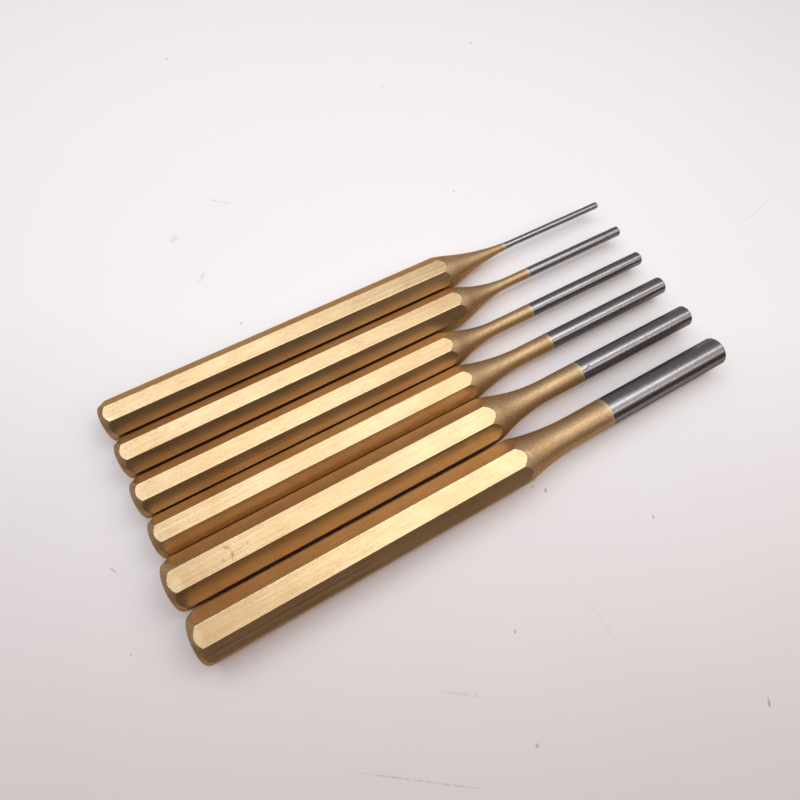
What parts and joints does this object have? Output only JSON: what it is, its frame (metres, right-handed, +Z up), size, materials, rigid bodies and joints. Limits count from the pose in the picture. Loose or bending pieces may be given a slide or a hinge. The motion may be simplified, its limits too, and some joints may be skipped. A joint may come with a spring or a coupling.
{
  "type": "pin punch",
  "caption": "Set of pin punches laid side by side, each with an octagonal gold-lacquered shank, a turned concave neck and a straight bare steel pin.",
  "frame": {"origin": "centre of the set's box, at its underside, where the shanks lie on the bench", "axes": "+X along the punches from the heads to the pins, +Y across the row towards the thinnest punch, +Z up"},
  "size_m": [0.151, 0.0672, 0.012],
  "materials": {
    "gold_lacquer": "satin metallic"
  },
  "bodies": {
    "punch_2mm": {"punch_2mm": "gold_lacquer"},
    "punch_3mm": {"punch_3mm": "gold_lacquer"},
    "punch_4mm": {"punch_4mm": "gold_lacquer"},
    "punch_5mm": {"punch_5mm": "gold_lacquer"},
    "punch_6mm": {"punch_6mm": "gold_lacquer"},
    "punch_8mm": {"punch_8mm": "gold_lacquer"}
  },
  "joints": [
    {"name": "lift_2mm", "type": "slide", "parent": "punch_8mm", "child": "punch_2mm", "axis": [0, 0, 1], "range_m": [0, 0.03]},
    {"name": "lift_3mm", "type": "slide", "parent": "punch_8mm", "child": "punch_3mm", "axis": [0, 0, 1], "range_m": [0, 0.03]},
    {"name": "lift_4mm", "type": "slide", "parent": "punch_8mm", "child": "punch_4mm", "axis": [0, 0, 1], "range_m": [0, 0.03]},
    {"name": "lift_5mm", "type": "slide", "parent": "punch_8mm", "child": "punch_5mm", "axis": [0, 0, 1], "range_m": [0, 0.03]},
    {"name": "lift_6mm", "type": "slide", "parent": "punch_8mm", "child": "punch_6mm", "axis": [0, 0, 1], "range_m": [0, 0.03]}
  ]
}
